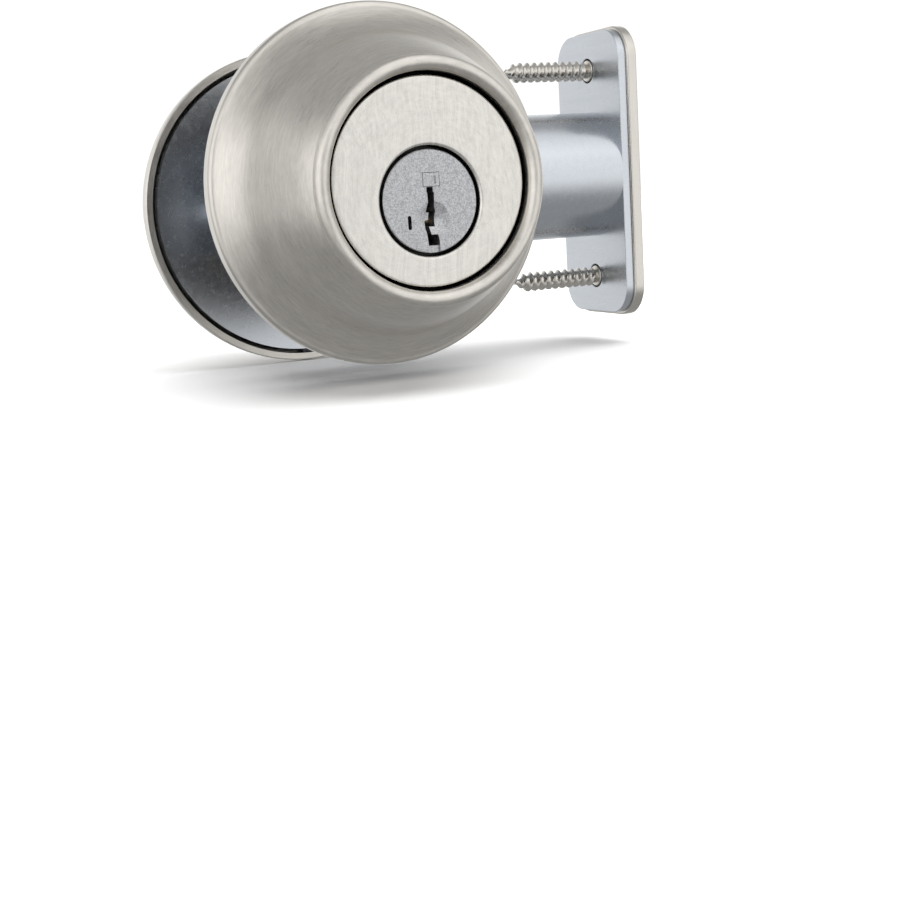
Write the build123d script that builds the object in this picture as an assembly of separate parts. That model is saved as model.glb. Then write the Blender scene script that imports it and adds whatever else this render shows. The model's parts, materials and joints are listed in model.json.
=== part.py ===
from build123d import *
import math
import os

# Single cylinder deadbolt lock, laid out as it sits in a door.
# Millimetres. The exterior side faces -Y, the bolt shoots along +X and +Z is up.
# The origin is the centre of the cylinder guard's back face, on the door's outer face.

# Door that the lock is set for
DOOR = 44.45
BACKSET = 60.3
THROW = 25.4

# Axis that the key, the blade, the cam and the thumbturn turn about: y runs along it
TURN_Z = -3.0
QUARTER = 90.0

# Exterior guard and face, heights measured forward from the door
GUARD_R = 31.0
RIM_H = 2.5
BEAD_R = 1.3
BEAD_CENTRE_R = 18.7
BEAD_CENTRE_H = 23.7
LIP_R = BEAD_CENTRE_R - BEAD_R
FACE_R = 16.8
FACE_H = 23.05
FLANGE_R = 17.9
FLANGE_H = 19.0
REAR_FLANGE_R = 20.5
REAR_FLANGE_H = 4.5
POST_X = 15.5
POST_R = 3.8
POST_END = 27.0
SCREW_R = 2.0

# Inside of the guard: seat on the door, bore, liner pocket and neck
SEAT_R = 27.1
SEAT_H = 1.6
GUARD_BORE = 24.6
LINER_R = 20.9
LINER_H = (5.0, 9.6)
NECK_R = 18.3
NECK_H = 19.4

# Adapter that centres the cylinder in a 54 mm cross bore
ADAPTER_R = 26.7
ADAPTER_WALL = 1.5
ADAPTER_WEB = 2.0
ADAPTER_DEEP = 8.0

# Key cylinder
SHELL_R = 11.55
SHELL_FRONT_H = 20.6
SHELL_END = 1.5
PLUG_R = 8.25
PLUG_HOLE_R = 8.8
PLUG_H = 22.75
PLUG_END = 1.0
BOSS_R = 5.5
BOSS_END = 3.2
LUG_END = 6.0
LUG_SPAN = 134.5
KEYWAY_END = 0.0
FOLLOWER_X = 2.3
FOLLOWER_Y = [-18.0 + 3.4 * i for i in range(5)]
FOLLOWER_TRAVEL = 2.4
RUNNING = 0.05

# Inside the plug, measured from its centre
INSERT_X = (-1.17, 1.80)
INSERT_Z = (2.30, 4.58)
INSERT_DEEP = 3.2
DRILL_PIN_Z = (-0.6, 3.0)
DRILL_PIN_Y = -20.4
DRILL_PIN_R = 0.9
CARRIER_X = 3.35
CARRIER_Y = (-20.1, -2.4)
CARRIER_Z = (-4.3, 5.9)
BAR_Y = (-19.5, -3.5)
BAR_SPRING_Y = (-18.2, -4.8)
PIN_TOP = 1.2
PIN_BOTTOM = -3.4
CHAMBER_TOP = 6.4
CHAMBER_R = 1.1
FOOT_TALL = 0.8
FOOT_WIDE = 1.2
DISH_X = 0.36
DISH_Z = -2.8
DISH_R = 2.75
DISH_DEPTH = 0.7

# Bolt case, centred in the door
BOLT_Y = DOOR / 2
CASE_INSIDE = 7.5
CASE_WALL = 1.4
BOLT_THICK = 14.5
BOLT_TALL = 20.0
BOLT_CORNER = 6.0
BOLT_BACK = 24.0
TUBE_R = 12.4
TUBE_WALL = 0.8
TUBE_START = 26.0
PLATE_WIDE = 25.4
PLATE_TALL = 57.15
PLATE_CORNER = 6.35
FACEPLATE = 2.2
BACKPLATE = 1.7
SCREW_SPACING = 41.3
PIN_HIGH = THROW / 2
PIN_R = 1.6
FORK_GAP = 1.1
HUB_R = 6.4
JOURNAL_R = 5.4
BLADE_R = 2.9
BLADE_FLAT = 1.5
RIVETS = [(-17.3, -9.2), (22.0, -9.2)]
RIVET_R = 1.0
BAR_THICK = 3.0
BAR_END = 34.3  # the bolt's slot for it stays behind the faceplate at full throw
BAR_RIVET_X = 30.5
BAR_RIVET_Z = 6.7
BAR_RIVET_R = 1.5
BAR_RIVET_HALF = 5.2  # ends stay inside the bolt's rounded corners, clear of the plates' opening
HARD_PIN_X = 43.0
HARD_PIN_Z = -2.5
HARD_PIN_R = 3.0
HARD_PIN_LONG = 29.6
HEAD_R = 4.1
HEAD_H = 2.1

# Interior side, heights measured inward from the door's inner face
ROSE_R = 31.0
ROSE_H = 15.5
ROSE_BORE = 7.05
ROSE_WALL = 1.4
MOUNT_PLATE_R = 28.7
MOUNT_PLATE = 1.5
SET_SCREW_H = 1.7
SET_SCREW_R = 1.2
CLIP_H = 9.6
CLIP_GROOVE = 1.2
STEM_R = 6.0


def rod(radius, y0, y1, x=0.0, z=0.0):
    """Round bar along Y."""
    return Pos(x, (y0 + y1) / 2, z) * Rot(90, 0, 0) * Cylinder(radius, y1 - y0)


def ring(inner, outer, y0, y1, x=0.0, z=0.0):
    """Flat-ended ring about an axis along Y."""
    return rod(outer, y0, y1, x, z) - rod(inner, y0 - 1, y1 + 1, x, z)


def block(x0, x1, y0, y1, z0, z1):
    """Box between two corners."""
    centre = Pos((x0 + x1) / 2, (y0 + y1) / 2, (z0 + z1) / 2)
    return centre * Box(x1 - x0, y1 - y0, z1 - z0)


def turned(edges, z=0.0):
    """Solid of revolution about an axis along Y, from edges in radius and y."""
    return Pos(0, 0, z) * revolve(make_face(edges), Axis.Y)


def along_x(sketch, x0, x1, y=0.0, z=0.0):
    """Prism along +X, from a sketch whose own axes are Y and Z."""
    plane = Plane(origin=(x0, y, z), x_dir=(0, 1, 0), z_dir=(1, 0, 0))
    return extrude(plane * sketch, x1 - x0)


def along_y(sketch, y0, y1, x=0.0, z=0.0):
    """Prism along +Y, from a sketch whose own axes are X and Z."""
    plane = Plane(origin=(x, y1, z), x_dir=(1, 0, 0), z_dir=(0, -1, 0))
    return extrude(plane * sketch, y1 - y0)


def polygon(points):
    """Flat closed outline through the points."""
    return make_face(Polyline(*points, close=True))


def d_bar(radius, flat, y0, y1):
    """Bar with a D section on the turning axis, its flat on the -X side."""
    bar = rod(radius, y0, y1, z=TURN_Z)
    return bar - block(-2 * radius, -flat, y0 - 1, y1 + 1, TURN_Z - radius, TURN_Z + radius)


def sector(inner, outer, y0, y1, start, span):
    """Part of a ring on the turning axis; angles run from +Z towards +X."""
    face = make_face(Polyline((inner, y0), (outer, y0), (outer, y1), (inner, y1), close=True))
    part = revolve(face, Axis.Y, revolution_arc=span)
    return Pos(0, 0, TURN_Z) * Rot(0, start - 90, 0) * part


def cross_recess(depth, width, length):
    """Cruciform driver recess cut downward from z = 0."""
    arm = Pos(0, 0, -depth / 2) * Box(length, width, depth)
    return arm + Rot(0, 0, 90) * arm


# ---------------------------------------------------------------- exterior side


def flared_side(r0, h0, r1, h1, waist_r, waist_h, flare, crown, sign):
    """Concave flare that turns into a convex shoulder, from the rim to the top."""
    return Spline(
        (r0, sign * h0),
        (waist_r + (r0 - waist_r) * 0.25, sign * (h0 + (waist_h - h0) * 0.53)),
        (waist_r, sign * waist_h),
        (r1 + (waist_r - r1) * 0.52, sign * (waist_h + (h1 - waist_h) * 0.58)),
        (r1, sign * h1),
        tangents=[(-flare, sign), (-crown, sign)],
    )


def cylinder_guard():
    bead_back = 56.0
    crease_r = BEAD_CENTRE_R + BEAD_R * math.cos(math.radians(bead_back))
    crease_h = BEAD_CENTRE_H - BEAD_R * math.sin(math.radians(bead_back))
    rim_round = 0.8
    edges = [
        Line((SEAT_R, 0), (GUARD_R, 0)),
        Line((GUARD_R, 0), (GUARD_R, -RIM_H)),
        ThreePointArc(
            (GUARD_R, -RIM_H),
            (GUARD_R - 0.22 * rim_round, -RIM_H - 0.62 * rim_round),
            (GUARD_R - rim_round, -RIM_H - rim_round),
        ),
        flared_side(GUARD_R - rim_round, RIM_H + rim_round, crease_r, crease_h, 24.4, 12.0, 1.45, 0.75, -1),
        ThreePointArc(
            (crease_r, -crease_h),
            (BEAD_CENTRE_R + BEAD_R * math.cos(math.radians(-45)), -BEAD_CENTRE_H - BEAD_R * 0.7071),
            (LIP_R, -BEAD_CENTRE_H),
        ),
    ]
    inside = [
        (LIP_R, -BEAD_CENTRE_H),
        (LIP_R, -NECK_H),
        (NECK_R, -NECK_H),
        (NECK_R, -LINER_H[1]),
        (LINER_R, -LINER_H[1]),
        (LINER_R, -LINER_H[0]),
        (GUARD_BORE, -LINER_H[0]),
        (GUARD_BORE, -SEAT_H),
        (SEAT_R, -SEAT_H),
        (SEAT_R, 0),
    ]
    edges += [Line(a, b) for a, b in zip(inside, inside[1:])]
    return turned(edges)


def guard_liner():
    liner = ring(NECK_R + 0.3, LINER_R - 0.05, -LINER_H[1] + 0.1, -LINER_H[0] - 0.1)
    return chamfer(liner.edges().group_by(Axis.Y)[0], 0.3)


def plug_hole_edge():
    """Softened mouth of the plug's hole in the face disc."""
    mouth = 0.55
    cone = Pos(0, -FACE_H + mouth / 2, TURN_Z) * Rot(90, 0, 0) * Cone(PLUG_HOLE_R, PLUG_HOLE_R + mouth, mouth)
    return cone


def cylinder_housing():
    bevel = 0.35
    outline = Polyline(
        (0, -FACE_H),
        (FACE_R - bevel, -FACE_H),
        (FACE_R, -FACE_H + bevel),
        (FACE_R, -FLANGE_H),
        (FLANGE_R, -FLANGE_H),
        (FLANGE_R, -REAR_FLANGE_H),
        (REAR_FLANGE_R, -REAR_FLANGE_H),
        (REAR_FLANGE_R, 0),
        (0, 0),
        close=True,
    )
    body = turned(outline)
    for side in (-1, 1):
        body += rod(POST_R, -1, POST_END, side * POST_X, TURN_Z)
    body -= rod(SHELL_R + 0.02, -SHELL_FRONT_H, 1, z=TURN_Z)
    body -= rod(PLUG_HOLE_R, -FACE_H - 1, -SHELL_FRONT_H + 1, z=TURN_Z)
    body -= plug_hole_edge()
    for side in (-1, 1):
        body -= rod(SCREW_R + RUNNING, 3, POST_END + 1, side * POST_X, TURN_Z)
    return body


def bore_adapter_ring():
    back = 0.02
    web = rod(ADAPTER_R, back, ADAPTER_WEB) + ring(ADAPTER_R - ADAPTER_WALL, ADAPTER_R, back, ADAPTER_DEEP)
    web -= rod(SHELL_R + 0.4, -1, ADAPTER_WEB + 1, z=TURN_Z)
    for side in (-1, 1):
        web -= rod(POST_R + 0.2, -1, ADAPTER_WEB + 1, side * POST_X, TURN_Z)
    return web


# ---------------------------------------------------------------- key cylinder


def cylinder_shell():
    shell = ring(PLUG_R + RUNNING, SHELL_R, -SHELL_FRONT_H, SHELL_END, z=TURN_Z)
    half = 1.0
    groove = block(7.0, 9.4, BAR_Y[0] - 0.7, BAR_Y[1] + 0.5, TURN_Z - half, TURN_Z + half)
    return shell - groove


def keyway():
    """Section of the keyway, with its wards, round the plug's centre."""
    return polygon(
        [
            (-0.60, 2.26),
            (-0.60, 1.43),
            (-0.50, 1.33),
            (-0.48, -0.30),
            (-0.87, -1.73),
            (-0.28, -1.78),
            (-0.39, -2.91),
            (-1.17, -3.11),
            (-1.14, -4.25),
            (-0.93, -5.33),
            (-0.76, -7.10),
            (1.21, -7.10),
            (1.18, -6.12),
            (0.97, -5.33),
            (-0.12, -5.33),
            (-0.39, -4.05),
            (0.68, -4.05),
            (0.71, -3.06),
            (0.89, -1.48),
            (0.62, -0.89),
            (0.68, 1.33),
            (0.52, 1.48),
            (0.52, 2.26),
        ]
    )


def rack_pocket():
    """Side pocket of the plug that the rack carrier fills."""
    low, high = (TURN_Z + z for z in CARRIER_Z)
    return block(CARRIER_X - 0.05, 10, CARRIER_Y[0], CARRIER_Y[1], low, high)


def key_plug():
    front = -PLUG_H
    plug = rod(PLUG_R, front, PLUG_END, z=TURN_Z)
    plug += rod(BOSS_R, PLUG_END - 0.5, BOSS_END, z=TURN_Z)
    plug -= ring(4.65, BOSS_R + 1, 1.55, 2.55, z=TURN_Z)
    plug += sector(2.2, 5.2, BOSS_END - 0.5, LUG_END, 0.25, LUG_SPAN)
    plug -= rod(1.85, 1.2, LUG_END + 1, z=TURN_Z)
    plug -= along_y(keyway(), front - 1, KEYWAY_END, z=TURN_Z)
    plug -= block(-0.76, 1.21, front - 1, front + 0.45, TURN_Z - PLUG_R - 1, TURN_Z - 7.0)
    plug -= block(
        INSERT_X[0],
        INSERT_X[1],
        front - 1,
        front + INSERT_DEEP,
        TURN_Z + INSERT_Z[0],
        TURN_Z + INSERT_Z[1],
    )
    tool_slot = along_y(SlotOverall(2.27, 0.62, rotation=90), front - 1, -3, -3.85, TURN_Z - 3.25)
    plug -= tool_slot
    dish = Rot(90, 0, 0) * Cone(0.4, DISH_R, DISH_DEPTH)
    plug -= Pos(DISH_X, front + DISH_DEPTH / 2, TURN_Z + DISH_Z) * dish
    for y in FOLLOWER_Y:
        plug -= Pos(FOLLOWER_X, y, TURN_Z + (CHAMBER_TOP + PIN_BOTTOM - 0.1) / 2) * Cylinder(
            CHAMBER_R, CHAMBER_TOP - PIN_BOTTOM + 0.1
        )
        foot_top = PIN_BOTTOM + FOOT_TALL + FOLLOWER_TRAVEL + 0.1
        half = FOOT_WIDE / 2 + RUNNING
        plug -= block(0.4, FOLLOWER_X, y - half, y + half, TURN_Z + PIN_BOTTOM - 0.1, TURN_Z + foot_top)
    plug -= rack_pocket()
    for z in DRILL_PIN_Z:
        plug -= Pos(-5.4, DRILL_PIN_Y, TURN_Z + z) * Rot(0, 90, 0) * Cylinder(DRILL_PIN_R + RUNNING, 6.4)
    edge = plug.edges().filter_by(GeomType.CIRCLE).filter_by(
        lambda e: abs(e.radius - PLUG_R) < 0.01 and abs(e.center().Y - front) < 0.01
    )
    return chamfer(edge, 0.15)


def anti_drill_pins():
    pin = Rot(0, 90, 0) * Cylinder(DRILL_PIN_R, 4.8)
    return [Pos(-4.65, DRILL_PIN_Y, TURN_Z + z) * pin for z in DRILL_PIN_Z]


def keyway_insert():
    """Hardened block above the keyway, with a small pocket in its front."""
    gap = 0.08
    front = -PLUG_H - 0.02
    body = block(
        INSERT_X[0] + gap,
        INSERT_X[1] - gap,
        front,
        front + INSERT_DEEP - 0.1,
        TURN_Z + INSERT_Z[0] + gap,
        TURN_Z + INSERT_Z[1] - gap,
    )
    pocket = block(-0.5, 1.13, front - 1, front + 0.25, TURN_Z + 2.7, TURN_Z + 4.0)
    return body - pocket


def rack_carrier():
    inset = 0.05
    blank = block(
        CARRIER_X,
        10,
        CARRIER_Y[0] + inset,
        CARRIER_Y[1] - inset,
        TURN_Z + CARRIER_Z[0] + inset,
        TURN_Z + CARRIER_Z[1] - inset,
    )
    carrier = blank & rod(PLUG_R - 0.05, -30, 10, z=TURN_Z)
    for y in FOLLOWER_Y:
        carrier -= block(3.0, 4.3, y - 0.95, y + 0.95, TURN_Z - 3.35, TURN_Z + 5.4)
    carrier -= block(5.5, 10, BAR_Y[0] - 0.1, BAR_Y[1] + 0.1, TURN_Z - 0.95, TURN_Z + 0.95)
    for y in BAR_SPRING_Y:
        carrier -= Pos(4.95, y, TURN_Z) * Rot(0, 90, 0) * Cylinder(0.65, 1.2)
    return carrier


def locking_bar():
    bar = block(5.9, 8.1, BAR_Y[0], BAR_Y[1], TURN_Z - 0.9, TURN_Z + 0.9)
    outer = bar.edges().filter_by(Axis.Y).group_by(Axis.X)[-1]
    return chamfer(outer, 0.5)


def locking_bar_springs():
    tube = Rot(0, 90, 0) * (Cylinder(0.55, 1.4) - Cylinder(0.3, 2))
    return [Pos(5.15, y, TURN_Z) * tube for y in BAR_SPRING_Y]


def plug_clip():
    clip = ring(4.75, 7.4, 1.65, 2.45, z=TURN_Z)
    return clip - block(-3.2, 3.2, 0, 4, TURN_Z - 9, TURN_Z)


def follower_pin(y):
    bottom = TURN_Z + PIN_BOTTOM
    middle = TURN_Z + (PIN_TOP + PIN_BOTTOM) / 2
    pin = Pos(FOLLOWER_X, y, middle) * Cylinder(CHAMBER_R - RUNNING, PIN_TOP - PIN_BOTTOM)
    foot = block(0.05, FOLLOWER_X, y - FOOT_WIDE / 2, y + FOOT_WIDE / 2, bottom, bottom + FOOT_TALL)
    return pin + foot


def follower_rack(y):
    """Thin plate beside the pin, toothed on the side that faces it."""
    low = TURN_Z - 3.2
    high = TURN_Z + 2.7
    rack = block(3.5, 4.2, y - 0.85, y + 0.85, low, high)
    tooth = 0.5
    count = int((high - low) / (2 * tooth))
    for i in range(count):
        z = low + 2 * tooth * i + tooth / 2
        rack += block(3.42, 3.55, y - 0.85, y + 0.85, z, z + tooth)
    return rack


def follower_spring(y):
    low = TURN_Z + PIN_TOP + 0.05
    high = TURN_Z + CHAMBER_TOP - 0.05
    coil = Cylinder(0.9, high - low) - Cylinder(0.6, high - low + 1)
    return Pos(FOLLOWER_X, y, (low + high) / 2) * coil


def blade_driver():
    disc = rod(5.4, LUG_END + 0.25, LUG_END + 2.4, z=TURN_Z)
    disc += rod(1.8, 1.3, LUG_END + 1, z=TURN_Z)
    disc += sector(2.2, 5.2, BOSS_END + 0.2, LUG_END + 1, 0.25 + 135.0, LUG_SPAN)
    return disc - d_bar(BLADE_R + 0.02, BLADE_FLAT + 0.02, LUG_END + 0.6, LUG_END + 3)


def torque_blade():
    return d_bar(BLADE_R, BLADE_FLAT, LUG_END + 0.65, DOOR + 9.0)


# ---------------------------------------------------------------- bolt case


def bolt_section(extra=0.0):
    return RectangleRounded(BOLT_THICK + 2 * extra, BOLT_TALL + 2 * extra, BOLT_CORNER + extra)


def bolt():
    body = along_x(bolt_section(), BOLT_BACK, BACKSET, y=BOLT_Y)
    body = chamfer(body.faces().sort_by(Axis.X)[-1].edges(), 0.8)
    half = BAR_THICK / 2 + RUNNING
    body -= block(BOLT_BACK - 1, BAR_END + 0.3, BOLT_Y - half, BOLT_Y + half, 3.0, 11.0)
    pocket = Rot(0, 90, 0) * Cylinder(HARD_PIN_R + RUNNING, HARD_PIN_LONG + 0.4)
    body -= Pos(HARD_PIN_X, BOLT_Y, HARD_PIN_Z) * pocket
    return body - rod(BAR_RIVET_R + RUNNING, 0, DOOR, BAR_RIVET_X, BAR_RIVET_Z)


def hardened_pin():
    return Pos(HARD_PIN_X, BOLT_Y, HARD_PIN_Z) * Rot(0, 90, 0) * Cylinder(HARD_PIN_R, HARD_PIN_LONG)


def bolt_bar():
    """Flat bar that the cam's fork drives, riveted in the bolt's tail slot."""
    outline = [
        (-17.2, 4.4),
        (BAR_END, 4.4),
        (BAR_END, 9.4),
        (24.5, 9.4),
        (22.5, 11.3),
        (-15.2, 11.3),
        (-17.2, 9.3),
    ]
    bar = along_y(polygon(outline), BOLT_Y - BAR_THICK / 2, BOLT_Y + BAR_THICK / 2)
    bar -= rod(PIN_R + 0.02, 0, DOOR, -PIN_HIGH, TURN_Z + PIN_HIGH)
    return bar - rod(BAR_RIVET_R + RUNNING, 0, DOOR, BAR_RIVET_X, BAR_RIVET_Z)


def bar_drive_pin():
    pin = rod(PIN_R, BOLT_Y - 5.4, BOLT_Y + BAR_THICK / 2, -PIN_HIGH, TURN_Z + PIN_HIGH)
    return chamfer(pin.edges().group_by(Axis.Y)[0], 0.3)


def bolt_bar_rivet():
    return rod(BAR_RIVET_R, BOLT_Y - BAR_RIVET_HALF, BOLT_Y + BAR_RIVET_HALF, BAR_RIVET_X, BAR_RIVET_Z)


def bolt_cam():
    """Hub with a D hole and a forked arm; the fork straddles the bolt bar's pin."""
    hub = rod(HUB_R, BOLT_Y - CASE_INSIDE + 0.15, BOLT_Y + CASE_INSIDE - 0.15, z=TURN_Z)
    reach = CASE_INSIDE + CASE_WALL
    hub += rod(JOURNAL_R, BOLT_Y - reach, BOLT_Y + reach, z=TURN_Z)
    half = PIN_R + FORK_GAP
    outer = half + 1.6
    tip = 21.5
    root = 10.6
    fork = [
        (-outer, 0),
        (outer, 0),
        (outer, tip - outer),
        (half, tip - half),
        (half, root),
        (-half, root),
        (-half, tip - half),
        (-outer, tip - outer),
    ]
    arm = along_y(polygon(fork), -5.2, -2.4)
    hub += Pos(0, BOLT_Y, TURN_Z) * Rot(0, -QUARTER / 2, 0) * arm
    return hub - d_bar(BLADE_R + 0.05, BLADE_FLAT + 0.05, 0, DOOR)


def case_plate(side):
    """Side plate of the bolt case; its front tabs reach into the bolt tube."""
    inner = BOLT_Y + side * CASE_INSIDE
    outer = inner + side * CASE_WALL
    y0, y1 = min(inner, outer), max(inner, outer)
    outline = [
        (-20.0, -9.5),
        (-18.0, -11.5),
        (25.8, -11.5),
        (25.8, -7.2),
        (32.0, -7.2),
        (32.0, 7.2),
        (25.8, 7.2),
        (25.8, 8.8),
        (-18.0, 8.8),
        (-20.0, 6.8),
    ]
    plate = along_y(polygon(outline), y0, y1)
    plate -= rod(JOURNAL_R + RUNNING, 0, DOOR, z=TURN_Z)
    for x in (-POST_X, POST_X):
        plate -= rod(POST_R + 0.3, 0, DOOR, x, TURN_Z)
    for x, z in RIVETS:
        plate -= rod(RIVET_R, 0, DOOR, x, z)
    return plate


def case_rivets():
    """Shouldered rivets that hold the two side plates apart."""
    rivets = []
    reach = CASE_INSIDE + CASE_WALL
    for x, z in RIVETS:
        rivet = rod(1.5, BOLT_Y - CASE_INSIDE, BOLT_Y + CASE_INSIDE, x, z)
        rivet += rod(RIVET_R, BOLT_Y - reach, BOLT_Y + reach, x, z)
        for side in (-1, 1):
            head = BOLT_Y + side * reach
            rivet += rod(1.7, min(head, head + side * 0.5), max(head, head + side * 0.5), x, z)
        rivets.append(rivet)
    return rivets


def detent_spring():
    """Leaf under the cam hub, bowed up in the middle."""
    half = 13.0
    bow = 1.3
    lower = -11.2
    thick = 0.35
    arc = ThreePointArc((-half, lower), (0, lower + bow), (half, lower))
    upper = ThreePointArc((half, lower + thick), (0, lower + bow + thick), (-half, lower + thick))
    sides = [Line((half, lower), (half, lower + thick)), Line((-half, lower + thick), (-half, lower))]
    return along_y(make_face([arc, sides[0], upper, sides[1]]), BOLT_Y - 3, BOLT_Y + 3)


def bolt_tube():
    end = BACKSET - FACEPLATE - BACKPLATE
    sleeve = Cylinder(TUBE_R, end - TUBE_START) - Cylinder(TUBE_R - TUBE_WALL, end)
    return Pos((end + TUBE_START) / 2, BOLT_Y, 0) * Rot(0, 90, 0) * sleeve


def edge_plate(x0, x1, shrink):
    """Plate on the door's edge with the bolt's opening."""
    outline = RectangleRounded(PLATE_WIDE - shrink, PLATE_TALL - shrink, PLATE_CORNER - shrink / 2)
    plate = along_x(outline, x0, x1, y=BOLT_Y)
    return plate - along_x(bolt_section(0.2), x0 - 1, x1 + 1, y=BOLT_Y)


def bolt_backplate():
    x1 = BACKSET - FACEPLATE
    plate = edge_plate(x1 - BACKPLATE, x1, 1.2)
    for z in (-SCREW_SPACING / 2, SCREW_SPACING / 2):
        plate -= Pos(x1, BOLT_Y, z) * Rot(0, 90, 0) * Cylinder(SCREW_R + 0.4, 10)
    return plate


def bolt_faceplate():
    x1 = BACKSET
    plate = edge_plate(x1 - FACEPLATE, x1, 0)
    rim = plate.faces().sort_by(Axis.X)[-1].outer_wire().edges()
    plate = chamfer(rim, 0.3)
    for z in (-SCREW_SPACING / 2, SCREW_SPACING / 2):
        plate -= Pos(x1, BOLT_Y, z) * Rot(0, 90, 0) * Cylinder(SCREW_R + 0.2, 10)
        cone = Rot(0, 90, 0) * Cone(SCREW_R + 0.1, HEAD_R + 0.1, HEAD_H)
        plate -= Pos(x1 - HEAD_H / 2, BOLT_Y, z) * cone
    return plate


def faceplate_screws():
    screws = []
    for z in (-SCREW_SPACING / 2, SCREW_SPACING / 2):
        shank = Pos(0, 0, -11.5) * Cylinder(SCREW_R, 19.0)
        neck = Pos(0, 0, -HEAD_H) * Cylinder(SCREW_R + 0.1, 2 * HEAD_H)
        head = Pos(0, 0, -HEAD_H / 2) * Cone(SCREW_R, HEAD_R, HEAD_H)
        point = Pos(0, 0, -22.2) * Cone(0.3, SCREW_R, 2.4)
        screw = shank + neck + head + point - cross_recess(1.3, 0.8, 4.4)
        screws.append(Pos(BACKSET - 0.05, BOLT_Y, z) * Rot(0, 90, 0) * screw)
    return screws


# ---------------------------------------------------------------- interior side


def mounting_plate():
    flange = 1.3
    plate = rod(MOUNT_PLATE_R, DOOR, DOOR + MOUNT_PLATE, z=TURN_Z)
    plate += ring(MOUNT_PLATE_R - flange, MOUNT_PLATE_R, DOOR + 1.0, DOOR + 2.4, z=TURN_Z)
    plate -= rod(STEM_R + RUNNING, 0, 2 * DOOR, z=TURN_Z)
    for side in (-1, 1):
        plate -= rod(SCREW_R + 0.3, 0, 2 * DOOR, side * POST_X, TURN_Z)
    return plate


def mounting_screws():
    screws = []
    seat = DOOR + MOUNT_PLATE
    for side in (-1, 1):
        x = side * POST_X
        screw = rod(SCREW_R, 12.0, seat, x, TURN_Z)
        head_top = seat + 2.6
        head = rod(3.9, seat, head_top, x, TURN_Z)
        head = fillet(head.edges().group_by(Axis.Y)[-1], 1.1)
        recess = Rot(-90, 0, 0) * cross_recess(1.5, 0.9, 4.4)
        screws.append(screw + head - Pos(x, head_top, TURN_Z) * recess)
    return screws


def interior_rose():
    """Flared cover over the mounting plate, with a bearing for the thumbturn."""
    rim_round = 0.8
    wall = ROSE_WALL
    top_r = 16.0
    shoulder = 1.6
    door = DOOR
    side_top = ROSE_H - shoulder
    hub_r = 10.2
    hub_h = 11.5
    edges = [
        Line((ROSE_R - wall, door), (ROSE_R, door)),
        Line((ROSE_R, door), (ROSE_R, door + RIM_H)),
        ThreePointArc(
            (ROSE_R, door + RIM_H),
            (ROSE_R - 0.22 * rim_round, door + RIM_H + 0.62 * rim_round),
            (ROSE_R - rim_round, door + RIM_H + rim_round),
        ),
        Spline(
            (ROSE_R - rim_round, door + RIM_H + rim_round),
            (24.2, door + 6.6),
            (top_r + shoulder, door + side_top),
            tangents=[(-1.6, 1), (-0.35, 1)],
        ),
        ThreePointArc(
            (top_r + shoulder, door + side_top),
            (top_r + shoulder * 0.62, door + ROSE_H - shoulder * 0.33),
            (top_r, door + ROSE_H),
        ),
        Line((top_r, door + ROSE_H), (ROSE_BORE, door + ROSE_H)),
        Line((ROSE_BORE, door + ROSE_H), (ROSE_BORE, door + hub_h)),
        Line((ROSE_BORE, door + hub_h), (hub_r, door + hub_h)),
        Line((hub_r, door + hub_h), (hub_r, door + ROSE_H - wall)),
        Line((hub_r, door + ROSE_H - wall), (top_r - 0.4, door + ROSE_H - wall)),
        Spline(
            (top_r - 0.4, door + ROSE_H - wall),
            (22.6, door + 6.0),
            (ROSE_R - wall, door + 2.6),
            tangents=[(0.35, -1), (1.6, -1)],
        ),
        Line((ROSE_R - wall, door + 2.6), (ROSE_R - wall, door)),
    ]
    rose = turned(edges, z=TURN_Z)
    hole = Pos(0, DOOR + SET_SCREW_H, TURN_Z - ROSE_R) * Cylinder(SET_SCREW_R + RUNNING, 8)
    return rose - hole


def rose_set_screw():
    """Grub screw through the rose's rim, against the mounting plate's flange."""
    top = -MOUNT_PLATE_R - 0.05
    screw = Pos(0, 0, top - 1.0) * Cylinder(SET_SCREW_R, 2.0)
    screw -= Pos(0, 0, top - 1.5) * Box(0.4, 2.0, 1.2)
    return Pos(0, DOOR + SET_SCREW_H, TURN_Z) * screw


def thumbturn():
    """Paddle on a round base, with a journal in the rose and a D socket."""
    top = DOOR + ROSE_H
    base_gap = 0.3
    stem = rod(STEM_R, DOOR - 2, DOOR + 9.2, z=TURN_Z)
    stem += rod(ROSE_BORE - RUNNING, DOOR + 9.0, top + 1, z=TURN_Z)
    stem -= ring(STEM_R, 10, DOOR + CLIP_H, DOOR + CLIP_H + CLIP_GROOVE, z=TURN_Z)
    base = rod(11.5, top + base_gap, top + 3.4, z=TURN_Z)
    base = fillet(base.edges().group_by(Axis.Y)[-1], 1.4)
    sections = Sketch()
    heights = [(top + 2.6, 21.0, 8.4), (top + 9.0, 27.0, 6.6), (top + 19.0, 36.0, 8.0)]
    for y, long, thick in heights:
        plane = Plane(origin=(0, y, TURN_Z), x_dir=(1, 0, 0), z_dir=(0, 1, 0))
        sections += plane * RectangleRounded(thick, long, thick / 2 - 0.3)
    paddle = loft(sections)
    end = paddle.faces().sort_by(Axis.Y)[-1]
    paddle = fillet(end.edges(), 2.6)
    part = stem + base + paddle
    return part - d_bar(BLADE_R + 0.05, BLADE_FLAT + 0.05, DOOR - 3, DOOR + 10.5)


def thumbturn_clip():
    slack = 0.15
    clip = ring(STEM_R + 0.1, 9.2, DOOR + CLIP_H + slack, DOOR + CLIP_H + CLIP_GROOVE - slack, z=TURN_Z)
    return clip - block(-4.0, 4.0, DOOR, DOOR + ROSE_H, TURN_Z - ROSE_R, TURN_Z)


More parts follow.
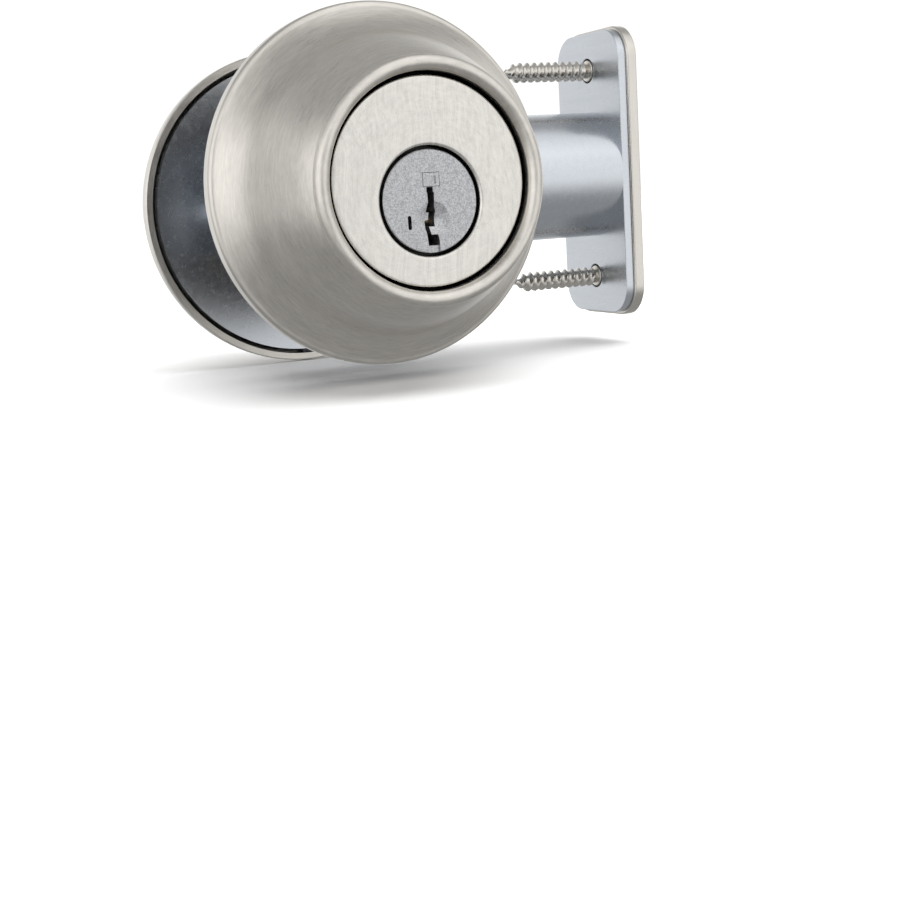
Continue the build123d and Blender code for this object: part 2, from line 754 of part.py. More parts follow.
def wave_washer():
    front = DOOR + CLIP_H + CLIP_GROOVE + 0.05
    return ring(ROSE_BORE + 0.1, 9.6, front, front + 0.5, z=TURN_Z)


# ---------------------------------------------------------------- output


def as_solids(shape):
    """Flat list of the solids in a shape or a list of shapes."""
    shapes = shape if isinstance(shape, list) else [shape]
    return [solid for item in shapes for solid in item.solids()]


def build():
    nodes = {
        "cylinder_guard": cylinder_guard(),
        "guard_liner": guard_liner(),
        "cylinder_housing": cylinder_housing(),
        "bore_adapter_ring": bore_adapter_ring(),
        "cylinder_shell": cylinder_shell(),
        "key_plug": key_plug(),
        "anti_drill_pins": anti_drill_pins(),
        "keyway_insert": keyway_insert(),
        "rack_carrier": rack_carrier(),
        "locking_bar": locking_bar(),
        "locking_bar_springs": locking_bar_springs(),
        "plug_clip": plug_clip(),
        "blade_driver": blade_driver(),
        "torque_blade": torque_blade(),
        "bolt": bolt(),
        "hardened_pin": hardened_pin(),
        "bolt_bar": bolt_bar(),
        "bar_drive_pin": bar_drive_pin(),
        "bolt_bar_rivet": bolt_bar_rivet(),
        "bolt_cam": bolt_cam(),
        "case_plate_front": case_plate(-1),
        "case_plate_rear": case_plate(1),
        "case_rivets": case_rivets(),
        "detent_spring": detent_spring(),
        "bolt_tube": bolt_tube(),
        "bolt_backplate": bolt_backplate(),
        "bolt_faceplate": bolt_faceplate(),
        "faceplate_screws": faceplate_screws(),
        "mounting_plate": mounting_plate(),
        "mounting_screws": mounting_screws(),
        "interior_rose": interior_rose(),
        "rose_set_screw": rose_set_screw(),
        "thumbturn": thumbturn(),
        "thumbturn_clip": thumbturn_clip(),
        "wave_washer": wave_washer(),
    }
    for number, y in enumerate(FOLLOWER_Y, start=1):
        nodes[f"follower_pin_{number}"] = follower_pin(y)
        nodes[f"follower_rack_{number}"] = follower_rack(y)
        nodes[f"follower_spring_{number}"] = follower_spring(y)
    return nodes


os.makedirs("parts", exist_ok=True)
for name, shape in build().items():
    solids = as_solids(shape)
    export_step(solids[0] if len(solids) == 1 else Compound(children=solids), f"parts/{name}.step")
    print(name, len(solids))
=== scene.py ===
import json
import math

import bmesh
import bpy
import numpy as np
from mathutils import Matrix, Vector


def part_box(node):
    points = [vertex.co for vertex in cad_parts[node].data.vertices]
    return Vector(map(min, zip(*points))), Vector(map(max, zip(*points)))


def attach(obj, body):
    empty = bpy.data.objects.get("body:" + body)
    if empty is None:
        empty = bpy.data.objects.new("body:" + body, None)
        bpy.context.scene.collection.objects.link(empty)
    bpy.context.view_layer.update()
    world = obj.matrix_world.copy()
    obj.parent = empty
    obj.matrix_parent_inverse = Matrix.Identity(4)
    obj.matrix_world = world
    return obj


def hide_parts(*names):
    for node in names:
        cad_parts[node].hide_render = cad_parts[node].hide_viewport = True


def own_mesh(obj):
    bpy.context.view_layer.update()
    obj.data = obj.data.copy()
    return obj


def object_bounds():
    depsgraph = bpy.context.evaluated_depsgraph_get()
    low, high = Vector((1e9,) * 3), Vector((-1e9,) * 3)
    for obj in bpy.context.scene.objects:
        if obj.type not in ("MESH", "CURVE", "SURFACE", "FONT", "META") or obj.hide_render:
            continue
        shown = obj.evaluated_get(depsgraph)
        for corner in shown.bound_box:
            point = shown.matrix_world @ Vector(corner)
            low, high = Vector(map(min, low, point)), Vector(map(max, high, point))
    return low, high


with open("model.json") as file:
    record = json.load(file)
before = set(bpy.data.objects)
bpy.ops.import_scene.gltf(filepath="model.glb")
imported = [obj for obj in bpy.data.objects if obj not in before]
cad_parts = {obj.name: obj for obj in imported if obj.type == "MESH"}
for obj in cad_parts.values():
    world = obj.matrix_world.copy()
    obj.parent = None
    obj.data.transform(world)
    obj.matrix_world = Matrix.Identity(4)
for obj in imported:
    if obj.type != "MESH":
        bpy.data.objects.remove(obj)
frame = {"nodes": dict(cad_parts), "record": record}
cad_low, cad_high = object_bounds()

# The frame is in metres, and the shapes below are given in millimetres.
MM = 0.001

# Places read from the frame, in millimetres
TURN_Z = sum(corner.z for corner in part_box("torque_blade")) / 2 / MM
GUARD_LOW, GUARD_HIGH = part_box("cylinder_guard")
GUARD_R = GUARD_HIGH.x / MM
GUARD_TOP = -GUARD_LOW.y / MM
ROSE_LOW, ROSE_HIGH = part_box("interior_rose")
ROSE_R = ROSE_HIGH.x / MM
ROSE_BACK = ROSE_LOW.y / MM
ROSE_TOP = ROSE_HIGH.y / MM
DOOR = ROSE_BACK
FACE_H = -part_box("cylinder_housing")[0].y / MM
POST_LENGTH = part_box("cylinder_housing")[1].y / MM
POST_X = 15.5
BOLT_LOW, BOLT_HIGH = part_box("bolt")
BOLT_Y = (BOLT_LOW.y + BOLT_HIGH.y) / 2 / MM
BACKSET = BOLT_HIGH.x / MM

# Sizes that more than one piece shares, in millimetres
BOLT_CORNER = 6.0
FACE_SCREW_Z = 20.65
SHELL_BORE_R = 11.57
RIM_H = 2.5
RIM_ROUND = 0.8
AXIS_GAP = 0.05

ROUND_STEPS = 256


# ---------------------------------------------------------------- mesh making


def clamped_spline(points, start, end, steps):
    """Points on the smooth cubic spline through the given points, with the given end directions."""
    p = np.array(points, float)
    chord = np.linalg.norm(np.diff(p, axis=0), axis=1)
    count = len(p)
    system = np.zeros((count, count))
    right = np.zeros((count, 2))
    system[0, 0] = 1
    system[-1, -1] = 1
    right[0] = np.array(start) / np.linalg.norm(start)
    right[-1] = np.array(end) / np.linalg.norm(end)
    for i in range(1, count - 1):
        before, after = chord[i - 1], chord[i]
        system[i, i - 1] = after
        system[i, i] = 2 * (before + after)
        system[i, i + 1] = before
        right[i] = 3 * (after * (p[i] - p[i - 1]) / before + before * (p[i + 1] - p[i]) / after)
    slope = np.linalg.solve(system, right)
    curve = []
    for i in range(count - 1):
        for t in np.linspace(0, 1, steps, endpoint=False):
            h00 = 2 * t**3 - 3 * t**2 + 1
            h10 = t**3 - 2 * t**2 + t
            h01 = -2 * t**3 + 3 * t**2
            h11 = t**3 - t**2
            curve.append(
                h00 * p[i] + h10 * chord[i] * slope[i] + h01 * p[i + 1] + h11 * chord[i] * slope[i + 1]
            )
    curve.append(p[-1])
    return [tuple(q) for q in curve]


def arc(centre, radius, start, end, steps):
    """Points on an arc; angles in degrees from the first axis towards the second."""
    angles = [math.radians(start + (end - start) * i / steps) for i in range(steps + 1)]
    return [(centre[0] + radius * math.cos(a), centre[1] + radius * math.sin(a)) for a in angles]


def rounded_path(corners, steps=4, closed=True):
    """Outline through corners given as (a, b, rounding radius)."""
    outline = []
    count = len(corners)
    for i, (a, b, radius) in enumerate(corners):
        here = Vector((a, b))
        if radius <= 0 or (not closed and i in (0, count - 1)):
            outline.append((a, b))
            continue
        back = (Vector(corners[i - 1][:2]) - here).normalized()
        ahead = (Vector(corners[(i + 1) % count][:2]) - here).normalized()
        half = back.angle(ahead) / 2
        reach = radius / math.tan(half)
        centre = here + (back + ahead).normalized() * (radius / math.sin(half))
        first = here + back * reach - centre
        last = here + ahead * reach - centre
        sweep = first.angle_signed(last)
        for k in range(steps + 1):
            turn = Matrix.Rotation(-sweep * k / steps, 2)
            outline.append(tuple(centre + turn @ first))
    return outline


def make_mesh(name, verts, faces, sharp=32.0):
    """Object from points in millimetres, smooth except at edges sharper than the given angle."""
    mesh = bpy.data.meshes.new(name)
    mesh.from_pydata([Vector(v) * MM for v in verts], [], faces)
    bm = bmesh.new()
    bm.from_mesh(mesh)
    bmesh.ops.remove_doubles(bm, verts=bm.verts, dist=1e-7)
    bmesh.ops.recalc_face_normals(bm, faces=bm.faces)
    bm.to_mesh(mesh)
    bm.free()
    mesh.shade_smooth()
    mesh.set_sharp_from_angle(angle=math.radians(sharp))
    piece = bpy.data.objects.new(name, mesh)
    bpy.context.scene.collection.objects.link(piece)
    return piece


def lathe(outline, z=0.0, steps=ROUND_STEPS):
    """Points and faces of a closed outline of (radius, y) turned about an axis along Y."""
    verts = []
    faces = []
    rows = len(outline)
    for i in range(steps):
        angle = 2 * math.pi * i / steps
        for radius, y in outline:
            verts.append((radius * math.cos(angle), y, z + radius * math.sin(angle)))
    for i in range(steps):
        for j in range(rows):
            a = i * rows + j
            b = i * rows + (j + 1) % rows
            c = (i + 1) % steps * rows + (j + 1) % rows
            d = (i + 1) % steps * rows + j
            faces.append((a, b, c, d))
    return verts, faces


def skin(loops, close=False, cap_start=True, cap_end=True):
    """Points and faces of a surface through loops of points, each loop of the same length."""
    verts = [p for loop in loops for p in loop]
    count = len(loops[0])
    faces = []
    rows = len(loops)
    for i in range(rows if close else rows - 1):
        for j in range(count):
            a = i * count + j
            b = i * count + (j + 1) % count
            c = (i + 1) % rows * count + (j + 1) % count
            d = (i + 1) % rows * count + j
            faces.append((a, b, c, d))
    if not close and cap_start:
        faces.append(tuple(range(count)))
    if not close and cap_end:
        faces.append(tuple((rows - 1) * count + j for j in range(count)))
    return verts, faces


def merged(*parts):
    """Several sets of points and faces as one."""
    verts = []
    faces = []
    for more_verts, more_faces in parts:
        start = len(verts)
        verts += more_verts
        faces += [tuple(start + i for i in face) for face in more_faces]
    return verts, faces


def moved(part, x=0.0, y=0.0, z=0.0):
    verts, faces = part
    return [(a + x, b + y, c + z) for a, b, c in verts], faces


def facing_x(part):
    """Turns a part made along Y so that its +Y end points along +X."""
    verts, faces = part
    return [(b, -a, c) for a, b, c in verts], faces


def plate(outline, holes, y0, y1, bevel):
    """Points and faces of a flat plate in X and Z with softened edges, from its outline and its holes."""
    curve = bpy.data.curves.new("plate", "CURVE")
    curve.dimensions = "2D"
    curve.fill_mode = "BOTH"
    curve.extrude = (y1 - y0) / 2 - bevel
    curve.bevel_depth = bevel
    curve.bevel_resolution = 2
    curve.offset = -bevel
    for loop in [outline] + holes:
        spline = curve.splines.new("POLY")
        spline.points.add(len(loop) - 1)
        spline.use_cyclic_u = True
        for point, (a, b) in zip(spline.points, loop):
            point.co = (a, b, 0, 1)
    holder = bpy.data.objects.new("plate", curve)
    mesh = bpy.data.meshes.new_from_object(holder)
    verts = [(v.co.x, (y0 + y1) / 2 + v.co.z, v.co.y) for v in mesh.vertices]
    faces = [tuple(face.vertices) for face in mesh.polygons]
    bpy.data.objects.remove(holder)
    bpy.data.curves.remove(curve)
    bpy.data.meshes.remove(mesh)
    return verts, faces


def circle(radius, x=0.0, z=0.0, steps=64):
    return arc((x, z), radius, 0, 360, steps)[:-1]


def rectangle(wide, tall, radius, x=0.0, z=0.0, steps=10):
    a = wide / 2
    b = tall / 2
    corners = [(x - a, z - b, radius), (x + a, z - b, radius), (x + a, z + b, radius), (x - a, z + b, radius)]
    return rounded_path(corners, steps)


def cut(piece, cutter):
    """Takes the cutter's shape out of a piece, and removes the cutter."""
    modifier = piece.modifiers.new("cut", "BOOLEAN")
    modifier.operation = "DIFFERENCE"
    modifier.solver = "EXACT"
    modifier.object = cutter
    bpy.context.view_layer.update()
    shape = bpy.data.meshes.new_from_object(piece.evaluated_get(bpy.context.evaluated_depsgraph_get()))
    piece.modifiers.clear()
    piece.data = shape
    shape.shade_smooth()
    shape.set_sharp_from_angle(angle=math.radians(32))
    bpy.data.objects.remove(cutter)
    return piece


def thread(core, crest, pitch, y0, y1, taper=0.0, steps=40):
    """Screw thread along Y: a closed surface with a helical ridge, tapering to nothing at y0 if asked."""
    rows_per_turn = 8
    shape = (0.0, 0.12, 0.75, 1.0, 0.75, 0.12, 0.0, 0.0)
    rows = int((y1 - y0) / pitch * rows_per_turn)
    loops = []
    for i in range(rows + 1):
        y = y0 + (y1 - y0) * i / rows
        run_in = min(1.0, (y - y0) / taper) if taper else 1.0
        loop = []
        for j in range(steps):
            angle = 2 * math.pi * j / steps
            phase = ((y - y0) / pitch - j / steps) % 1.0 * rows_per_turn
            k = int(phase)
            height = shape[k] + (shape[(k + 1) % rows_per_turn] - shape[k]) * (phase - k)
            ends = min(1.0, (y1 - y) / pitch)
            radius = max(0.15, core * run_in) + (crest - core) * height * max(0.25, run_in) * ends
            loop.append((radius * math.cos(angle), y, radius * math.sin(angle)))
        loops.append(loop)
    return skin(loops)


def cross_cutter(depth, width, length, y):
    """Cruciform driver recess that narrows with depth, entering along -Y from y."""
    parts = []
    for turn in (0, 1):
        loops = []
        for level, scale in ((y + 0.5, 1.12), (y, 1.0), (y - depth, 0.45)):
            a = length / 2 * scale
            b = width / 2 * (0.6 + 0.4 * scale)
            corners = [(-a, -b), (a, -b), (a, b), (-a, b)]
            loops.append([(u, level, v) if not turn else (-v, level, u) for u, v in corners])
        parts.append(skin(loops))
    return parts


# ---------------------------------------------------------------- materials


def node(tree, kind, **inputs):
    """New shader node with some inputs set, by name, with _ for a space."""
    made = tree.nodes.new(kind)
    for key, value in inputs.items():
        made.inputs[key.replace("_", " ")].default_value = value
    return made


def math_node(tree, operation, a, b=None):
    made = tree.nodes.new("ShaderNodeMath")
    made.operation = operation
    for socket, value in zip(made.inputs, (a, b)):
        if value is None:
            continue
        if isinstance(value, (int, float)):
            socket.default_value = value
        else:
            tree.links.new(value, socket)
    return made.outputs[0]


def spin_coordinates(tree, z, around, across):
    """Seamless texture coordinates that run round an axis along Y at height z, for brushed metal."""
    links = tree.links
    place = tree.nodes.new("ShaderNodeTexCoord")
    split = tree.nodes.new("ShaderNodeSeparateXYZ")
    links.new(place.outputs["Object"], split.inputs[0])
    x = split.outputs[0]
    y = split.outputs[1]
    up = math_node(tree, "SUBTRACT", split.outputs[2], z * MM)
    square = math_node(tree, "ADD", math_node(tree, "MULTIPLY", x, x), math_node(tree, "MULTIPLY", up, up))
    radius = math_node(tree, "ADD", math_node(tree, "SQRT", square), 1e-6)
    joined = tree.nodes.new("ShaderNodeCombineXYZ")
    links.new(math_node(tree, "MULTIPLY", math_node(tree, "DIVIDE", x, radius), around), joined.inputs[0])
    links.new(math_node(tree, "MULTIPLY", math_node(tree, "DIVIDE", up, radius), around), joined.inputs[1])
    side = math_node(tree, "SUBTRACT", radius, math_node(tree, "ABSOLUTE", y))
    links.new(math_node(tree, "MULTIPLY", side, across), joined.inputs[2])
    return joined.outputs[0]


def noise(tree, vector, scale, detail=3.0, rough=0.6):
    made = node(tree, "ShaderNodeTexNoise", Scale=scale, Detail=detail, Roughness=rough)
    if vector is not None:
        tree.links.new(vector, made.inputs["Vector"])
    return made.outputs["Fac"]


def ramp(tree, value, low, high, from_low=0.3, from_high=0.7):
    """Value scaled from one range to another."""
    made = node(tree, "ShaderNodeMapRange", From_Min=from_low, From_Max=from_high, To_Min=low, To_Max=high)
    tree.links.new(value, made.inputs["Value"])
    return made.outputs["Result"]


def tinted(tree, value, colour, spread, value_low=0.3, value_high=0.7):
    """Colour that varies a little in brightness with a value."""
    made = tree.nodes.new("ShaderNodeMix")
    made.data_type = "RGBA"
    dark = [c * (1 - spread) for c in colour] + [1]
    light = [min(1, c * (1 + spread)) for c in colour] + [1]
    made.inputs["A"].default_value = dark
    made.inputs["B"].default_value = light
    tree.links.new(ramp(tree, value, 0, 1, value_low, value_high), made.inputs["Factor"])
    return made.outputs["Result"]


def new_material(name, metallic=1.0):
    material = bpy.data.materials.new(name)
    material.use_nodes = True
    shader = material.node_tree.nodes["Principled BSDF"]
    shader.inputs["Metallic"].default_value = metallic
    return material, material.node_tree, shader


def add_bump(tree, shader, height, strength, distance):
    bump = node(tree, "ShaderNodeBump", Strength=strength, Distance=distance * MM)
    tree.links.new(height, bump.inputs["Height"])
    tree.links.new(bump.outputs["Normal"], shader.inputs["Normal"])


def blend(tree, first, second, share):
    """Weighted sum of two values: the share of the first, the rest of the second."""
    part = math_node(tree, "MULTIPLY", first, share)
    rest = math_node(tree, "MULTIPLY", second, 1.0 - share)
    return math_node(tree, "ADD", part, rest)


def brushed_metal(name, colour, z=0.0, rough=0.3, across=1900.0, bump=0.45, stretch=0.5, wear=0.10):
    """Satin metal brushed round an axis along Y."""
    material, tree, shader = new_material(name)
    grain_at = spin_coordinates(tree, z, 9.0, across)
    grain = noise(tree, grain_at, 1.0, 4.0, 0.75)
    broad_at = spin_coordinates(tree, z, 1.2, 260.0)
    broad = noise(tree, broad_at, 1.0, 2.0, 0.5)
    place = tree.nodes.new("ShaderNodeTexCoord")
    cloud = noise(tree, place.outputs["Object"], 190.0, 3.0, 0.55)
    mixed = blend(tree, grain, broad, 0.75)
    tree.links.new(tinted(tree, mixed, colour, wear, 0.38, 0.62), shader.inputs["Base Color"])
    soft = blend(tree, mixed, cloud, 0.65)
    tree.links.new(ramp(tree, soft, rough * 0.82, rough * 1.2), shader.inputs["Roughness"])
    shader.inputs["Anisotropic"].default_value = stretch
    shader.inputs["Anisotropic Rotation"].default_value = 0.25
    tangent = tree.nodes.new("ShaderNodeTangent")
    tangent.direction_type = "RADIAL"
    tangent.axis = "Y"
    tree.links.new(tangent.outputs[0], shader.inputs["Tangent"])
    add_bump(tree, shader, grain, bump, 0.03)
    return material


def swirled_face(name, colour, z=0.0):
    """Bright flat face, finished by fine curved strokes."""
    material, tree, shader = new_material(name)
    place = tree.nodes.new("ShaderNodeTexCoord")
    turned = node(tree, "ShaderNodeMapping", Rotation=(0, math.radians(38), 0), Scale=(1700.0, 300.0, 190.0))
    tree.links.new(place.outputs["Object"], turned.inputs["Vector"])
    bend = tree.nodes.new("ShaderNodeTexNoise")
    bend.inputs["Scale"].default_value = 60.0
    tree.links.new(place.outputs["Object"], bend.inputs["Vector"])
    warped = node(tree, "ShaderNodeVectorMath")
    warped.operation = "MULTIPLY_ADD"
    warped.inputs[1].default_value = (14.0, 0.0, 2.0)
    tree.links.new(bend.outputs["Color"], warped.inputs[0])
    tree.links.new(turned.outputs["Vector"], warped.inputs[2])
    strokes = noise(tree, warped.outputs["Vector"], 1.0, 3.0, 0.65)
    rings_at = spin_coordinates(tree, z, 9.0, 1500.0)
    rings = noise(tree, rings_at, 1.0, 3.0, 0.6)
    grain = blend(tree, strokes, rings, 0.6)
    tree.links.new(tinted(tree, grain, colour, 0.12, 0.38, 0.62), shader.inputs["Base Color"])
    tree.links.new(ramp(tree, grain, 0.20, 0.34), shader.inputs["Roughness"])
    shader.inputs["Anisotropic"].default_value = 0.35
    add_bump(tree, shader, grain, 0.5, 0.035)
    return material


def blasted_metal(name, colour, rough=0.42, size=9000.0, bump=0.35, depth=0.02, spread=0.12):
    """Matt metal with a fine pitted grain that sparkles a little."""
    material, tree, shader = new_material(name)
    place = tree.nodes.new("ShaderNodeTexCoord")
    fine = noise(tree, place.outputs["Object"], size, 2.0, 0.7)
    coarse = noise(tree, place.outputs["Object"], size * 0.28, 3.0, 0.6)
    grain = blend(tree, fine, coarse, 0.8)
    tree.links.new(tinted(tree, grain, colour, spread, 0.38, 0.62), shader.inputs["Base Color"])
    tree.links.new(ramp(tree, grain, rough * 0.75, rough * 1.25), shader.inputs["Roughness"])
    add_bump(tree, shader, grain, bump, depth)
    return material


def rolled_metal(
    name, colour, rough=0.3, direction=(1.0, 0.12, 1.0), size=900.0, bump=0.1, spread=0.05, painted_shade_front=False
):
    """Rolled or plated sheet and bar, with a faint drawn grain and cloudy plating; if asked, painted shade
    makes the front end near-black.
    """
    material, tree, shader = new_material(name)
    place = tree.nodes.new("ShaderNodeTexCoord")
    drawn = node(tree, "ShaderNodeMapping", Scale=tuple(size * d for d in direction))
    tree.links.new(place.outputs["Object"], drawn.inputs["Vector"])
    grain = noise(tree, drawn.outputs["Vector"], 1.0, 4.0, 0.65)
    cloud = noise(tree, place.outputs["Object"], 90.0, 2.0, 0.4)
    mixed = blend(tree, grain, cloud, 0.8)
    shade = tinted(tree, mixed, colour, spread)
    # Painted shade: faces in front of y = -19 mm turn near-black, standing in for the shadow in the gap round
    # the plug
    if painted_shade_front:
        split = tree.nodes.new("ShaderNodeSeparateXYZ")
        tree.links.new(place.outputs["Object"], split.inputs[0])
        painted_front_shade = tree.nodes.new("ShaderNodeMix")
        painted_front_shade.data_type = "RGBA"
        tree.links.new(ramp(tree, split.outputs[1], 0.0, 1.0, -0.0200, -0.0190), painted_front_shade.inputs["Factor"])
        painted_front_shade.inputs["A"].default_value = (0.02, 0.02, 0.02, 1)
        tree.links.new(shade, painted_front_shade.inputs["B"])
        shade = painted_front_shade.outputs["Result"]
    tree.links.new(shade, shader.inputs["Base Color"])
    tree.links.new(ramp(tree, grain, rough * 0.9, rough * 1.1), shader.inputs["Roughness"])
    add_bump(tree, shader, grain, bump, 0.015)
    return material


def moulded_nylon(name, colour):
    material, tree, shader = new_material(name, metallic=0.0)
    place = tree.nodes.new("ShaderNodeTexCoord")
    texture = noise(tree, place.outputs["Object"], 3500.0, 3.0, 0.6)
    cloud = noise(tree, place.outputs["Object"], 240.0, 2.0, 0.5)
    tree.links.new(tinted(tree, cloud, colour, 0.18), shader.inputs["Base Color"])
    tree.links.new(ramp(tree, texture, 0.42, 0.58), shader.inputs["Roughness"])
    add_bump(tree, shader, texture, 0.3, 0.02)
    return material


NICKEL = (0.66, 0.635, 0.59)
MATERIALS = {
    "satin_nickel": brushed_metal("satin_nickel", NICKEL),
    "satin_nickel_rose": brushed_metal("satin_nickel_rose", NICKEL, z=TURN_Z),
    "satin_nickel_flat": rolled_metal(
        "satin_nickel_flat", NICKEL, rough=0.27, direction=(1, 1, 0.08), size=2600.0
    ),
    "satin_nickel_face": swirled_face("satin_nickel_face", (0.70, 0.68, 0.64), z=0.0),
    "plug_nickel": blasted_metal(
        "plug_nickel", (0.50, 0.505, 0.52), size=3900.0, bump=0.8, depth=0.04, spread=0.3
    ),
    "hardened_steel": rolled_metal("hardened_steel", (0.36, 0.36, 0.37), rough=0.28),
    "zinc": blasted_metal("zinc", (0.50, 0.51, 0.53), rough=0.45, size=4000.0, bump=0.2, depth=0.03),
    "zinc_plated_steel": rolled_metal("zinc_plated_steel", (0.60, 0.63, 0.67), rough=0.26),
    "spring_steel": rolled_metal("spring_steel", (0.42, 0.41, 0.40), rough=0.25),
    "black_oxide": blasted_metal("black_oxide", (0.045, 0.045, 0.05), rough=0.4, size=5000.0, bump=0.15),
    # Brass shell with painted shade: its front end is near-black, standing in for the shadow in the gap round
    # the plug
    "brass": rolled_metal("brass", (0.72, 0.53, 0.24), direction=(1, 0.1, 1), size=1500.0, painted_shade_front=True),
    "black_nylon": moulded_nylon("black_nylon", (0.022, 0.022, 0.024)),
    # Painted shade: near-black matt material for the walls of deep gaps and bores, standing in for their
    # shadow
    "painted_shade_recess": blasted_metal("painted_shade_recess", (0.02, 0.02, 0.021), rough=0.6, size=3000.0, bump=0.2),
}


def paint(piece, name):
    """Gives the whole piece one material."""
    piece.data.materials.clear()
    piece.data.materials.append(MATERIALS[name])


def finish_piece(piece, body, material, replaced=()):
    paint(piece, material)
    flat = piece.modifiers.new("flat_faces", "WEIGHTED_NORMAL")
    flat.keep_sharp = True
    flat.weight = 100
    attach(piece, body)
    if replaced:
        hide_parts(*replaced)
    return piece


# ---------------------------------------------------------------- exterior side


def cylinder_guard():
    """Flared collar: back rim, concave flare, shoulder, and the bead round its mouth."""
    bead_r = 1.3
    bead_centre = (18.7, GUARD_TOP - bead_r)
    bore_r = 18.3
    bore_h = 19.4
    waist = (24.4, 12.0)
    foot = (GUARD_R - RIM_ROUND, RIM_H + RIM_ROUND)
    crease_angle = -56.0
    crease = arc(bead_centre, bead_r, crease_angle, crease_angle, 1)[0]
    through = [
        foot,
        (waist[0] + (foot[0] - waist[0]) * 0.25, foot[1] + (waist[1] - foot[1]) * 0.53),
        waist,
        (crease[0] + (waist[0] - crease[0]) * 0.52, waist[1] + (crease[1] - waist[1]) * 0.58),
        crease,
    ]
    outer = [(GUARD_R - 0.25, 0.0), (GUARD_R, 0.25)]
    outer += arc((GUARD_R - RIM_ROUND, RIM_H), RIM_ROUND, 0, 90, 6)[:-1]
    outer += clamped_spline(through, (-1.45, 1), (-0.75, 1), 14)[:-1]
    outer += arc(bead_centre, bead_r, crease_angle, 180, 22)
    lip = bead_centre[0] - bead_r
    lip_back = bead_centre[1] - 1.1
    inside = rounded_path(
        [
            (lip, lip_back, 0),
            (lip, bore_h, 0.15),
            (bore_r, bore_h, 0),
            (bore_r, 9.6, 0.2),
            (20.9, 9.6, 0.2),
            (20.9, 5.0, 0.2),
            (24.6, 5.0, 0.4),
            (24.6, 1.6, 0.3),
            (27.1, 1.6, 0.3),
            (27.1, 0.0, 0),
        ],
        closed=False,
    )
    outline = [(r, -h) for r, h in outer + inside]
    guard = make_mesh("guard_collar", *lathe(outline))
    finish_piece(guard, "guard", "satin_nickel", ["cylinder_guard"])
    # Second material: painted shade, near-black on the faces behind the lip and in the bore, standing in for
    # the shadow of the deep gap round the face. Third: bare zinc on the other inner faces.
    guard.data.materials.append(MATERIALS["painted_shade_recess"])
    guard.data.materials.append(MATERIALS["zinc"])
    for face in guard.data.polygons:
        radius = math.hypot(face.center.x, face.center.z) / MM
        front = -face.center.y / MM
        inward = face.normal.x * face.center.x + face.normal.z * face.center.z < 0
        behind_lip = radius < lip + 0.02 and front < lip_back
        in_bore = radius < bore_r + 0.1 and front < bore_h + 0.01
        if behind_lip or in_bore:
            face.material_index = 1
        elif inward and front < 18:
            face.material_index = 2
    return guard


def cylinder_front():
    """Cylinder body: bright face disc with the plug's hole, sides darkened as painted shade, flange and the
    two threaded posts.
    """
    face_r = 16.8
    edge = 0.35
    hole_r = 8.8
    mouth = 0.55
    side_h = 19.0
    collar_r = 17.9
    flange_r = 20.5
    flange_h = 4.5
    shell_h = 20.6
    rings = [(TURN_Z, hole_r, shell_h)]
    rings += [(TURN_Z, r, h) for r, h in arc((hole_r + mouth, FACE_H - mouth), mouth, 180, 90, 6)]
    inner = rings[-1][1]
    for i in range(1, 12):
        t = i / 12
        rings.append((TURN_Z * (1 - t), inner + (face_r - edge - inner) * t, FACE_H))
    rings += [(0, r, h) for r, h in arc((face_r - edge, FACE_H - edge), edge, 90, 0, 5)]
    rings += [(0, face_r, side_h), (0, collar_r, side_h)]
    rings += [(0, collar_r, flange_h), (0, flange_r, flange_h), (0, flange_r, 0.0)]
    rings += [(TURN_Z, SHELL_BORE_R, 0.0), (TURN_Z, SHELL_BORE_R, shell_h)]
    loops = []
    for z, r, h in rings:
        angles = [2 * math.pi * i / ROUND_STEPS for i in range(ROUND_STEPS)]
        loops.append([(r * math.cos(a), -h, z + r * math.sin(a)) for a in angles])
    parts = [skin(loops, close=True)]
    post_r = 3.8
    thread_r = 2.05
    foot_gap = 0.02
    post = rounded_path(
        [
            (thread_r, foot_gap, 0),
            (post_r, foot_gap, 0),
            (post_r, POST_LENGTH, 0.4),
            (thread_r, POST_LENGTH, 0.3),
        ],
        3,
    )
    for side in (-1, 1):
        parts.append(moved(lathe(post, TURN_Z, 64), x=side * POST_X))
    body = make_mesh("cylinder_body", *merged(*parts))
    finish_piece(body, "lock", "satin_nickel_face", ["cylinder_housing"])
    # Back faces are bare zinc; the sides, collar, flange and the walls of the plug's hole get painted shade,
    # near-black where the gaps would be in shadow
    body.data.materials.append(MATERIALS["painted_shade_recess"])
    body.data.materials.append(MATERIALS["zinc"])
    for face in body.data.polygons:
        front = -face.center.y / MM
        if front < 1.0:
            face.material_index = 2
        elif front < FACE_H - edge * 0.9 and math.hypot(face.center.x, face.center.z) > 15 * MM:
            face.material_index = 1
        elif front < FACE_H - mouth * 2.2:
            face.material_index = 1
    return body


# ---------------------------------------------------------------- interior side


